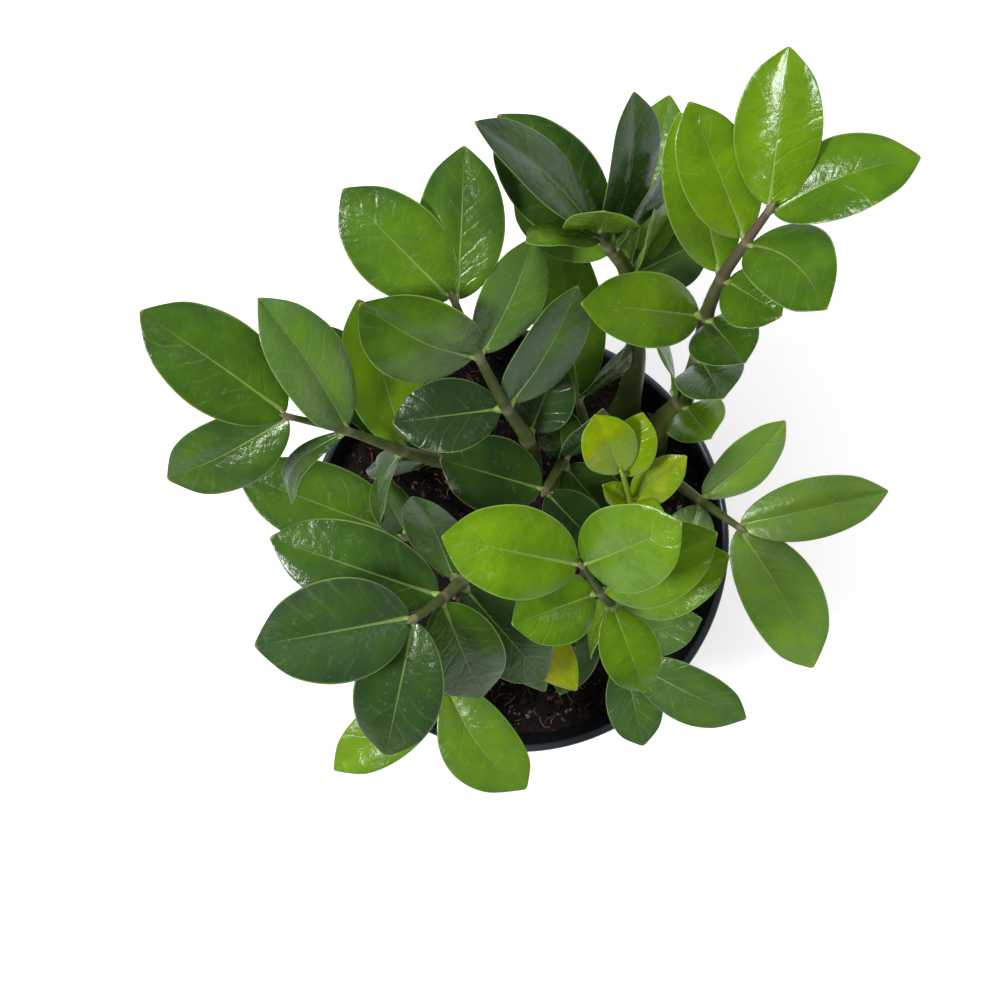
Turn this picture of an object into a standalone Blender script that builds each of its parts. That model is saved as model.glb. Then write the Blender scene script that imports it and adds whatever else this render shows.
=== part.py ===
"""A potted ZZ plant: a plastic nursery pot, its soil, thirteen stems and their leaflets.

The origin is the middle of the pot's flat base and +Z is up. Plan positions in the tables are
from the pot's axis, and heights there are above the soil, so a taller pot lifts the whole plant
with it.
"""

import math

import bmesh
import bpy
from mathutils import Matrix, Vector

# Pot, in metres.
RIM_DIAMETER = 0.170
POT_HEIGHT = 0.130
BASE_DIAMETER = 0.120
WALL = 0.0016
FLOOR = 0.0024
BAND_HEIGHT = 0.016
BAND_STEP = 0.0018
LIP_WIDTH = 0.0030
LIP_HEIGHT = 0.0032
FOOT_WIDTH = 0.009
CENTRE_PAD_DIAMETER = 0.036
RECESS = 0.0022
DRAIN_HOLE_DIAMETER = 0.009
DRAIN_HOLES = 8
DRAIN_HOLE_SEGMENTS = 12
DRAIN_CUTTER_DEPTH = 4 * FLOOR
POT_SEGMENTS = 48

# Soil and the clearance that every pair of touching pieces keeps.
SOIL_BELOW_RIM = 0.015
SOIL_CROWN = 0.002
SOIL_LEVEL_SHARE = 0.8
GAP = 0.0003

# Plant. Its tables are drawn in millimetres for a pot with a rim of TABLE_RIM, and a plant in a
# wider or narrower pot is that much larger or smaller, so that its stems' feet still fit.
TABLE_RIM = 170
UNIT = RIM_DIAMETER / TABLE_RIM
LEAF_THICKNESS = 0.0009
LEAF_BASE_WIDTH = 0.0026
LEAF_TIP_WIDTH = 0.0008
LEAF_WIDEST = 1.05
LEAF_FULLNESS = 0.6
LEAF_LENGTH_STEPS = 6
LEAF_WIDTH_STEPS = 4
LEAF_END_CROWDING = 0.5
LEAF_INSET = 0.4
LEAF_CLIMB = 0.3
STEM_SIDES = 8
STEM_STEPS_PER_SPAN = 2
STEM_TAPER = 0.7
TANGENT_STEP = 0.05
SWELLING = 1.25
SWELLING_LENGTH = 0.16


def frond(name, foot_radius, end_radius, path, leaflets, joined=()):
    """One stem with its leaflets: path points and radii are in table units."""
    return {
        "name": name,
        "foot_radius": foot_radius,
        "end_radius": end_radius,
        "path": path,
        "leaflets": leaflets,
        "joined": joined,
    }


def leaflet(station, tip, width, roll=0, arch=0.06, fold=10, sway=0.0):
    """One leaflet: the path point it grows from, its tip and width, then how it is turned.

    Roll, in degrees, lifts the left side seen from the base. Arch is the rise of its middle, and
    sway its bend to the left, as shares of its length. Fold, in degrees, lifts both halves from
    the midrib.
    """
    return {
        "station": station,
        "tip": tip,
        "width": width,
        "roll": roll,
        "arch": arch,
        "fold": fold,
        "sway": sway,
    }


FRONDS = [
    frond(
        "west", 4.5, 1.1,
        [(-14, 24, 0), (-19, 28, 50), (-32, 32, 90), (-44, 35, 115), (-64, 42, 141), (-85, 47, 159)],
        [
            leaflet(5, (-136, 84, 181), 36, roll=8),
            leaflet(4.9, (-130, 24, 137), 30, roll=-24),
            leaflet(4, (-94, 89, 176), 30, roll=24, fold=18),
            leaflet(4, (-86, 15, 107), 9, roll=10, arch=0.16, fold=-30, sway=-0.12),
            leaflet(3, (-60, 91, 130), 30, roll=15),
        ],
        [
            leaflet(3, (-52, 9, 85), 22, roll=70, arch=0.1),
            leaflet(2, (-59, 28, 75), 18, roll=50),
            leaflet(2, (-83, 84, 97), 26),
        ],
    ),
    frond(
        "northwest", 4.5, 1.3,
        [(2, 26, 0), (6, 30, 45), (3, 40, 100), (-5, 51, 130), (-15, 69, 157), (-24, 89, 173)],
        [
            leaflet(5, (-63, 127, 189), 34, roll=-8),
            leaflet(4.9, (-20, 143, 183), 32, roll=-8),
            leaflet(4, (-57, 86, 192), 37, roll=-30, arch=0.1),
            leaflet(4, (5, 111, 174), 26, roll=30),
            leaflet(3, (-47, 45, 135), 28),
            leaflet(3, (21, 94, 163), 27, roll=38),
        ],
        [
            leaflet(2, (15, 69, 117), 24),
        ],
    ),
    frond(
        "north", 6.5, 1.5,
        [(42, 49, 0), (44, 57, 25), (45, 74, 80), (40, 99, 135), (32, 109, 157), (28, 114, 168)],
        [
            leaflet(5, (-16, 149, 207), 28, roll=45),
            leaflet(4.1, (-8, 155, 174), 34),
            leaflet(5, (30, 124, 212), 28),
            leaflet(4, (40, 160, 203), 28, roll=50),
        ],
        [
            leaflet(4.6, (2, 108, 192), 18, roll=50),
            leaflet(3.6, (-2, 131, 146), 28),
            leaflet(3.8, (52, 136, 183), 24, roll=78),
            leaflet(3, (50, 126, 165), 24, roll=78),
            leaflet(3, (55, 165, 147), 30),
            leaflet(3, (69, 113, 137), 26),
        ],
    ),
    frond(
        "inner", 4.0, 1.5,
        [(30, 36, 0), (27, 44, 40), (23, 55, 75)],
        [
            leaflet(2, (14, 121, 107), 28),
        ],
        [
            leaflet(2, (42, 76, 95), 20, roll=70),
        ],
    ),
    frond(
        "centre", 4.0, 1.5,
        [(16, 18, 0), (18, 24, 35), (17, 31, 72), (10, 20, 90)],
        [
            leaflet(3, (-30, 32, 101), 30),
        ],
        [
            leaflet(3, (31, -2, 77), 22),
            leaflet(2, (37, 8, 58), 24),
            leaflet(2, (32, 51, 100), 18, roll=50),
            leaflet(2, (15, 52, 92), 18),
        ],
    ),
    frond(
        "northeast", 5.5, 1.4,
        [
            (54, 38, 0), (56, 46, 30), (64, 56, 65), (68, 72, 107),
            (69, 85, 139), (73, 97, 171), (80, 108, 200), (87, 118, 215),
        ],
        [
            leaflet(7, (92, 172, 235), 31, roll=-15),
            leaflet(6.9, (138, 135, 227), 29, roll=-12, sway=0.04),
            leaflet(6, (105, 82, 233), 31, sway=0.1),
            leaflet(6, (58, 154, 227), 28),
            leaflet(5, (56, 153, 201), 27),
            leaflet(5, (93, 82, 187), 26),
            leaflet(4, (81, 66, 170), 28),
            leaflet(4, (22, 87, 173), 28),
            leaflet(3, (75, 54, 139), 27),
        ],
        [
            leaflet(2, (73, 40, 93), 25),
            leaflet(2, (51, 79, 97), 20, roll=75),
        ],
    ),
    frond(
        "east", 4.5, 1.3,
        [(42, 24, 0), (50, 26, 30), (60, 24, 50), (71, 16, 66), (85, 6, 75)],
        [
            leaflet(4, (142, 20, 81), 24),
            leaflet(4, (115, -49, 59), 31, sway=0.04),
            leaflet(3, (103, 47, 75), 22, roll=30),
        ],
        [
            leaflet(3, (58, -19, 51), 24),
        ],
    ),
    frond(
        "young", 2.4, 0.9,
        [(44, 10, 0), (44, 13, 45), (43, 16, 81), (39, 26, 111)],
        [
            leaflet(3, (28, 48, 130), 22, roll=-10),
            leaflet(2.8, (46, 49, 121), 18, roll=-15),
        ],
        [
            leaflet(2, (63, 33, 107), 16),
            leaflet(2, (32, 22, 97), 10),
            leaflet(2, (55, 5, 101), 13),
        ],
    ),
    frond(
        "south", 5.0, 1.1,
        [(42, -22, 0), (44, -22, 50), (40, -22, 105), (33, -20, 163), (28, -16, 191), (21, -6, 221)],
        [
            leaflet(5, (-27, 4, 245), 33),
            leaflet(5, (54, 9, 257), 33, roll=10),
            leaflet(4, (68, 5, 223), 29),
            leaflet(3, (74, -3, 193), 28),
            leaflet(4, (-3, -27, 207), 27),
            leaflet(3, (46, -54, 147), 22),
        ],
        [
            leaflet(3, (26, -40, 133), 18, roll=70),
        ],
    ),
    frond(
        "southwest", 5.0, 1.5,
        [(2, 2, 0), (-2, 1, 45), (-14, -7, 120), (-22, -14, 147), (-28, -19, 163), (-38, -26, 176)],
        [
            leaflet(5, (-94, -35, 197), 38),
            leaflet(5, (-49, -77, 151), 33),
            leaflet(4, (-90, 3, 173), 32),
            leaflet(4, (-14, -57, 127), 30),
            leaflet(2.9, (10, -51, 117), 28),
        ],
        [
            leaflet(3, (-40, 18, 121), 22, roll=30),
            leaflet(2, (22, -56, 97), 20),
            leaflet(2, (10, -57, 85), 20),
        ],
    ),
    frond(
        "south_low", 3.5, 1.5,
        [(-12, -18, 0), (-15, -28, 40), (-22, -42, 65), (-28, -56, 75)],
        [
            leaflet(3, (3, -96, 63), 30, sway=-0.08),
        ],
        [
            leaflet(3, (-72, -89, 59), 24),
        ],
    ),
    frond(
        "west_low", 3.5, 1.5,
        [(-18, 2, 0), (-25, 2, 30), (-44, 2, 59)],
        [
            leaflet(2, (-109, 27, 71), 33),
        ],
        [
            leaflet(2, (-55, 25, 81), 16),
        ],
    ),
    frond(
        "southeast", 3.5, 1.5,
        [(22, -22, 0), (28, -30, 35), (43, -46, 69)],
        [
            leaflet(2, (89, -69, 58), 24, roll=20),
        ],
        [
            leaflet(1.8, (49, -80, 51), 22),
            leaflet(1.5, (70, -29, 84), 22, roll=10),
            leaflet(1, (10, -32, 65), 20),
            leaflet(1, (16, -59, 66), 20),
        ],
    ),
]

# Colours, and how rough and metallic each surface is.
FINISHES = {
    "pot": ((0.012, 0.014, 0.018), 0.4, 0.0),
    "soil": ((0.035, 0.018, 0.011), 1.0, 0.0),
    "stem": ((0.16, 0.19, 0.08), 0.5, 0.0),
    "leaf": ((0.07, 0.2, 0.02), 0.28, 0.0),
}


def clear_scene():
    for obj in list(bpy.data.objects):
        bpy.data.objects.remove(obj)


def finish_of(node, finish):
    """A material of the node's own."""
    colour, roughness, metallic = FINISHES[finish]
    material = bpy.data.materials.new(f"{node}_{finish}")
    material.use_nodes = True
    shader = material.node_tree.nodes["Principled BSDF"]
    shader.inputs["Base Color"].default_value = (*colour, 1.0)
    shader.inputs["Roughness"].default_value = roughness
    shader.inputs["Metallic"].default_value = metallic
    return material


def object_from(bm, name, finish=None):
    """A named object made from a bmesh, with no finish if it is only a helper."""
    bmesh.ops.recalc_face_normals(bm, faces=bm.faces)
    mesh = bpy.data.meshes.new(name)
    bm.to_mesh(mesh)
    bm.free()
    mesh.shade_smooth()
    obj = bpy.data.objects.new(name, mesh)
    bpy.context.collection.objects.link(obj)
    if finish:
        mesh.materials.append(finish_of(name, finish))
    else:
        obj.hide_render = True
        obj.display_type = "WIRE"
    return obj


def boolean(obj, operand, operation):
    modifier = obj.modifiers.new(operand.name, "BOOLEAN")
    modifier.operation = operation
    modifier.object = operand


def soil_level():
    """Height of the soil where it meets the pot's wall."""
    return POT_HEIGHT - SOIL_BELOW_RIM


def outer_radius(height):
    """Radius of the pot's tapered wall, under its band, on the outside."""
    under_band = RIM_DIAMETER / 2 - BAND_STEP
    share = height / POT_HEIGHT
    return BASE_DIAMETER / 2 + (under_band - BASE_DIAMETER / 2) * share


def lip_arc(steps=6):
    """The rolled lip's half-round top, from its outer side to its inner side."""
    middle = RIM_DIAMETER / 2 - LIP_WIDTH / 2
    rise = LIP_WIDTH / 2
    angles = [math.pi * step / steps for step in range(steps + 1)]
    return [
        (middle + rise * math.cos(angle), POT_HEIGHT - rise + rise * math.sin(angle))
        for angle in angles
    ]


def turned(profile, segments):
    """A closed body turned about the axis from (radius, height) points that start and end on it."""
    bm = bmesh.new()
    points = [bm.verts.new((radius, 0, height)) for radius, height in profile]
    edges = [bm.edges.new(pair) for pair in zip(points, points[1:])]
    bmesh.ops.spin(
        bm,
        geom=points + edges,
        axis=(0, 0, 1),
        cent=(0, 0, 0),
        angle=math.tau,
        steps=segments,
        use_merge=True,
    )
    bmesh.ops.remove_doubles(bm, verts=bm.verts, dist=1e-6)
    return bm


def make_pot():
    band_foot = POT_HEIGHT - BAND_HEIGHT
    foot = BASE_DIAMETER / 2
    pad = CENTRE_PAD_DIAMETER / 2
    inside_band = RIM_DIAMETER / 2 - BAND_STEP - WALL
    profile = [
        (0, 0),
        (pad, 0),
        (pad + RECESS, RECESS),
        (foot - FOOT_WIDTH - RECESS, RECESS),
        (foot - FOOT_WIDTH, 0),
        (foot - WALL, 0),
        (outer_radius(WALL), WALL),
        (outer_radius(band_foot), band_foot),
        (outer_radius(band_foot) + BAND_STEP, band_foot + BAND_STEP),
        (RIM_DIAMETER / 2 - LIP_WIDTH / 4, POT_HEIGHT - LIP_HEIGHT),
        *lip_arc(),
        (inside_band, POT_HEIGHT - LIP_HEIGHT),
        (outer_radius(RECESS + FLOOR) - WALL, RECESS + FLOOR),
        (0, RECESS + FLOOR),
    ]
    pot = object_from(turned(profile, POT_SEGMENTS), "pot", "pot")
    boolean(pot, make_drain_cutters(), "DIFFERENCE")


def make_drain_cutters():
    """The round holes through the pot's floor, between its centre pad and its foot."""
    ring = (CENTRE_PAD_DIAMETER / 2 + BASE_DIAMETER / 2 - FOOT_WIDTH) / 2
    bm = bmesh.new()
    for hole in range(DRAIN_HOLES):
        turn = Matrix.Rotation(math.tau * hole / DRAIN_HOLES, 4, "Z")
        place = Matrix.Translation((ring, 0, RECESS + FLOOR / 2))
        bmesh.ops.create_cone(
            bm,
            cap_ends=True,
            segments=DRAIN_HOLE_SEGMENTS,
            radius1=DRAIN_HOLE_DIAMETER / 2,
            radius2=DRAIN_HOLE_DIAMETER / 2,
            depth=DRAIN_CUTTER_DEPTH,
            matrix=turn @ place,
        )
    return object_from(bm, "drain_hole_cutters")


def make_soil():
    """The soil fills the pot with a gap all round, and its top is very slightly crowned."""
    floor = RECESS + FLOOR + GAP
    top = soil_level()
    profile = [
        (0, floor),
        (outer_radius(floor) - WALL - GAP, floor),
        (inner_radius(top - SOIL_CROWN) - GAP, top - SOIL_CROWN),
        (inner_radius(top) * SOIL_LEVEL_SHARE, top),
        (0, top),
    ]
    object_from(turned(profile, POT_SEGMENTS), "soil", "soil")


def inner_radius(height):
    """Radius of the pot's inner wall, which runs straight from its floor to under the lip."""
    low = RECESS + FLOOR
    high = POT_HEIGHT - LIP_HEIGHT
    low_radius = outer_radius(low) - WALL
    high_radius = RIM_DIAMETER / 2 - BAND_STEP - WALL
    return low_radius + (high_radius - low_radius) * (height - low) / (high - low)


def above_soil(point):
    """A table point, measured from the soil, as a place in metres."""
    return Vector(point) * UNIT + Vector((0, 0, soil_level() + GAP))


def smooth_point(points, place):
    """The point at a place along the smooth curve through all the points, one unit a span."""
    span = min(int(place), len(points) - 2)
    part = place - span
    before = points[max(span - 1, 0)]
    start, end = points[span], points[span + 1]
    after = points[min(span + 2, len(points) - 1)]
    leaving = (end - before) / 2
    arriving = (after - start) / 2
    return (
        start * (1 + 2 * part) * (1 - part) ** 2
        + leaving * part * (1 - part) ** 2
        + end * part**2 * (3 - 2 * part)
        + arriving * part**2 * (part - 1)
    )


def stem_radius(spec, place):
    """Radius along a stem: it tapers to its end and swells where it leaves the soil."""
    share = place / (len(spec["path"]) - 1)
    taper = spec["foot_radius"] + (spec["end_radius"] - spec["foot_radius"]) * share**STEM_TAPER
    swelling = (SWELLING - 1) * math.exp(-((share / SWELLING_LENGTH) ** 2))
    return taper * (1 + swelling) * UNIT


def stem_places(spec):
    spans = len(spec["path"]) - 1
    return [step / STEM_STEPS_PER_SPAN for step in range(spans * STEM_STEPS_PER_SPAN + 1)]


def tangent_at(points, place):
    last = len(points) - 1
    ahead = smooth_point(points, min(place + TANGENT_STEP, last))
    behind = smooth_point(points, max(place - TANGENT_STEP, 0))
    return (ahead - behind).normalized()


def stem_mesh(spec):
    """A closed round stem: one ring of vertices extruded along the path, flat at its foot."""
    points = [above_soil(point) for point in spec["path"]]
    bm = bmesh.new()
    ring = bmesh.ops.create_circle(bm, cap_ends=True, segments=STEM_SIDES, radius=1.0)["verts"]
    face = ring[0].link_faces[0]
    for place in stem_places(spec):
        along = Vector((0, 0, 1)) if place == 0 else tangent_at(points, place)
        if place > 0:
            extruded = bmesh.ops.extrude_discrete_faces(bm, faces=[face])
            face = extruded["faces"][0]
        set_ring(face, smooth_point(points, place), along, stem_radius(spec, place))
    bmesh.ops.holes_fill(bm, edges=bm.edges, sides=STEM_SIDES)
    return bm


def set_ring(face, centre, along, radius):
    """Moves a face's corners onto a circle square to the stem, without twisting it."""
    across = Vector((1, 0, 0))
    side = (across - along * across.dot(along)).normalized()
    other = along.cross(side)
    for index, vert in enumerate(face.verts):
        angle = math.tau * index / len(face.verts)
        vert.co = centre + (side * math.cos(angle) + other * math.sin(angle)) * radius


def leaf_frame(spec, leaf, inside):
    """A leaflet's base, its unit length, side and upper directions, and its length."""
    points = [above_soil(point) for point in spec["path"]]
    node = smooth_point(points, leaf["station"])
    tip = above_soil(leaf["tip"])
    tangent = tangent_at(points, leaf["station"])
    out = (tip - node) - tangent * (tip - node).dot(tangent)
    radius = stem_radius(spec, leaf["station"])
    stand_off = radius * LEAF_INSET if inside else radius + GAP + LEAF_THICKNESS
    base = node + out.normalized() * stand_off
    if not inside:
        base += tangent * LEAF_BASE_WIDTH * LEAF_CLIMB
    length = (tip - base).length
    along = (tip - base) / length
    side = Vector((0, 0, 1)).cross(along).normalized()
    turn = Matrix.Rotation(math.radians(leaf["roll"]), 3, along)
    side = turn @ side
    return base, along, side, along.cross(side), length


def half_width(share, width):
    """Half the blade's width at a share of its length: widest near the middle, pointed at the end."""
    body = math.sin(math.pi * share**LEAF_WIDEST) ** LEAF_FULLNESS
    ends = LEAF_BASE_WIDTH * (1 - share) + LEAF_TIP_WIDTH * share
    return max(body * width, ends) / 2


def leaf_mesh(spec, leaf, inside=False):
    """A leaflet's blade as a grid that is bent to shape, before its thickness."""
    base, along, side, upper, length = leaf_frame(spec, leaf, inside)
    rise = math.tan(math.radians(leaf["fold"]))
    bm = bmesh.new()
    bmesh.ops.create_grid(bm, x_segments=LEAF_LENGTH_STEPS, y_segments=LEAF_WIDTH_STEPS, size=0.5)
    for vert in bm.verts:
        even = min(max(vert.co.x + 0.5, 0.0), 1.0)
        eased = (1 - math.cos(math.pi * even)) / 2
        share = even + (eased - even) * LEAF_END_CROWDING
        out = 2 * vert.co.y * half_width(share, leaf["width"] * UNIT)
        bow = length * math.sin(math.pi * share)
        lift = leaf["arch"] * bow + abs(out) * rise
        shift = leaf["sway"] * bow + out
        vert.co = base + along * share * length + side * shift + upper * lift
    return bm


def add_leaf(spec, leaf, name, finish=None):
    obj = object_from(leaf_mesh(spec, leaf, inside=finish is None), name, finish)
    blade = obj.modifiers.new("blade", "SOLIDIFY")
    blade.thickness = LEAF_THICKNESS
    blade.offset = 0.0
    return obj


def make_frond(spec):
    stem = object_from(stem_mesh(spec), f"stem_{spec['name']}", "stem")
    for number, leaf in enumerate(spec["leaflets"], 1):
        add_leaf(spec, leaf, f"leaflet_{spec['name']}_{number}", "leaf")
    for number, leaf in enumerate(spec["joined"], 1):
        boolean(stem, add_leaf(spec, leaf, f"grown_on_{spec['name']}_{number}"), "UNION")


def main():
    clear_scene()
    make_pot()
    make_soil()
    for spec in FRONDS:
        make_frond(spec)


main()
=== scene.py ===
"""A potted ZZ plant: glossy leaflets, mottled stems, peaty soil and a black nursery pot.

Laid out as an add-on and run as a script. The plain solids fix the pot, the soil and the box
that every stem and leaflet stays in, and the pieces here replace them. Tables are in millimetres:
plan positions from the pot's axis, and heights above the soil.
"""

import math
import random

import bmesh
import bpy
from bpy.props import FloatProperty, FloatVectorProperty, IntProperty, PointerProperty
from mathutils import Matrix, Vector, noise


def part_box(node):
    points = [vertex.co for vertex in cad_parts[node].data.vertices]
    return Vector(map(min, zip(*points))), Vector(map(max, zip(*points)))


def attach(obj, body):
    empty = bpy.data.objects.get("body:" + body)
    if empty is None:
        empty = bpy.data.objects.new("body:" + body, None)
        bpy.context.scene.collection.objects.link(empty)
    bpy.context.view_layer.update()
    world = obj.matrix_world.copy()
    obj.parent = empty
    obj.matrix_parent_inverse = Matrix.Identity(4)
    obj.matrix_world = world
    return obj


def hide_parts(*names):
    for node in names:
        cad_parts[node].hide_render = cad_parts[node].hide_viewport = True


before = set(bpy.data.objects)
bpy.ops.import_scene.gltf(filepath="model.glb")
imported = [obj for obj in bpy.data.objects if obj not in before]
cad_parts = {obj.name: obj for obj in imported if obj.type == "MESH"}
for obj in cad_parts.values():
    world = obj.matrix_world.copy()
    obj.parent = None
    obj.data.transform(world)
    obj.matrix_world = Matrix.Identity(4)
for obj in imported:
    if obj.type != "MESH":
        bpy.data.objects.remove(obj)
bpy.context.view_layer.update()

bl_info = {
    "name": "Potted ZZ Plant",
    "version": (1, 0, 0),
    "blender": (4, 5, 0),
    "location": "3D View > Sidebar > Plant",
    "description": "Builds a ZZ plant in its nursery pot on a pale studio floor",
    "category": "Object",
}

# What the plain solids fix.
POT_LOW, POT_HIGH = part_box("pot")
SOIL_LOW, SOIL_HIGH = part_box("soil")
RIM_RADIUS = (POT_HIGH.x - POT_LOW.x) / 2
POT_HEIGHT = POT_HIGH.z
SOIL_LEVEL = SOIL_HIGH.z
SOIL_RADIUS = (SOIL_HIGH.x - SOIL_LOW.x) / 2
GAP = 0.0003

# The rim's diameter in the tables, and the metres in one unit of theirs.
TABLE_RIM = 170
UNIT = 2 * RIM_RADIUS / TABLE_RIM

# A blade's outline: its least widths, where it is widest, how full it is and how sharply it ends.
LEAF_BASE_WIDTH = 0.0026
LEAF_TIP_WIDTH = 0.0008
LEAF_WIDEST = 0.97
LEAF_FULLNESS = 0.54
LEAF_POINT = 0.22
LEAF_POINT_START = 0.8
END_CROWDING = 0.5

# A blade's relief: veins and the pleats between them, the midrib's groove, billows and a wavy margin.
VEINS = 7
VEIN_SLANT = 0.3
VEIN_CURVE = 0.08
PLEAT = 0.00008
GROOVE_DEPTH = 0.0005
GROOVE_WIDTH = 0.0011
BILLOW = 0.0011
MARGIN_WAVE = 0.0007
TIP_DROOP = 0.012
DROOP_START = 0.8

# Shares of a blade's full thickness: between midrib and margin, more at the rib, less at the margin.
BLADE_BODY = 0.42
RIB_EXTRA = 0.55
RIB_SPREAD = 0.09
MARGIN_THINNING = 0.2

# The age below which a frond counts as new growth.
NEW_GROWTH_AGE = 0.2

# Stems: the swelling at the soil, the taper, the joints' rings and the bud at the end.
SWELLING = 1.25
SWELLING_LENGTH = 0.16
STEM_TAPER = 0.7
STEM_STEPS = 9
TANGENT_STEP = 0.05
STEM_WOBBLE = 0.035
RING_HEIGHT = 0.13
RING_LENGTH = 0.05
BUD_STEPS = ((0.7, 0.85), (1.6, 0.5), (2.4, 0.15))

# Leaflets' stalks, with their radius in the tables' unit.
STALK_RADIUS = 1.9
STALK_SIDES = 10

# The bed of soil: lower at the wall, drawn up round each stem, and narrower at its foot.
WALL_DIP = 0.0022
WALL_DIP_START = 0.86
MOUND_HEIGHT = 0.0028
MOUND_REACH = 0.005
BED_STEPS = ((SOIL_LEVEL * 0.55, 0.86), (SOIL_LOW.z + GAP, 0.72))

# What lies on the soil: least and greatest sizes.
CRUMB_SIZES = (0.0009, 0.0036)
CHIP_SIZES = (0.002, 0.006)
FIBRE_RINGS = 5
FIBRE_STEPS = (0.0008, 0.0034)
FIBRE_THICKNESSES = (0.00012, 0.00034)
RAISED_SHARE = 0.25
RAISED_HEIGHT = 0.0022
CRUMB_TONES = [(0.0, (0.004, 0.003, 0.003)), (0.75, (0.016, 0.011, 0.01)), (1.0, (0.18, 0.12, 0.085))]
BARK_TONES = [(0.0, (0.012, 0.008, 0.007)), (0.6, (0.045, 0.024, 0.019)), (1.0, (0.16, 0.085, 0.06))]

# The pot under its rim: a foot ring and a middle pad round the raised floor, and the drain holes.
BASE_RADIUS = 0.060
FLOOR = 0.0024
FOOT_WIDTH = 0.009
PAD_RADIUS = 0.018
RECESS = 0.0022
BAND_STEP = 0.0018
DRAIN_HOLES = 8
DRAIN_RADIUS = 0.0045

# Height from a moulding ring's middle, and how far the wall stands out there.
RING_STEPS = (
    (-0.0022, 0), (-0.0014, 0), (-0.0008, 0.0003), (0.0008, 0.0003), (0.0014, 0), (0.0022, 0)
)

# The studio.
WALL_COLOUR = (0.94, 0.97, 1.0, 1)
WALL_LIGHT = 0.85
CEILING_DROP = 0.84
LAMP_AIM = Vector((0, 0, 0.2))
FILL_ANGLE = math.radians(40)
FLOOR_SIZE = 6.0
SENSOR_WIDTH = 36.0
CAMERA_PLACE = (-0.0072, 0.0165)


def frond(name, foot_radius, end_radius, age, bloom, path, leaflets, joined=(), brown=0.08):
    """One stem and its leaflets.

    Age runs from 0 for new growth to 1 for the oldest green; past 1 it darkens a low leaflet further,
    as painted shade. Painted sheen runs from 0 for glossy leaflets to 1 for ones given a painted pale
    grey sheen, which stands in for their reflection of the pale walls, and a rougher finish. Brown is
    how brown the stem's end is.
    """
    return {
        "name": name,
        "foot_radius": foot_radius,
        "end_radius": end_radius,
        "age": age,
        "bloom": bloom,
        "brown": brown,
        "path": path,
        "leaflets": leaflets,
        "joined": joined,
    }


def leaflet(station, tip, width, roll=0, arch=0.06, fold=7, sway=0.0, age=None, bloom=None):
    """One leaflet: the path point it grows from, its tip and width, then how it is turned.

    Roll, in degrees, lifts the left side seen from the base. Arch is the rise of its middle, and
    sway its bend to the left, as shares of its length. Fold, in degrees, lifts both halves from
    the midrib. Age and painted sheen are the frond's own where none is given.
    """
    return {
        "station": station,
        "tip": tip,
        "width": width,
        "roll": roll,
        "arch": arch,
        "fold": fold,
        "sway": sway,
        "age": age,
        "bloom": bloom,
    }


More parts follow.
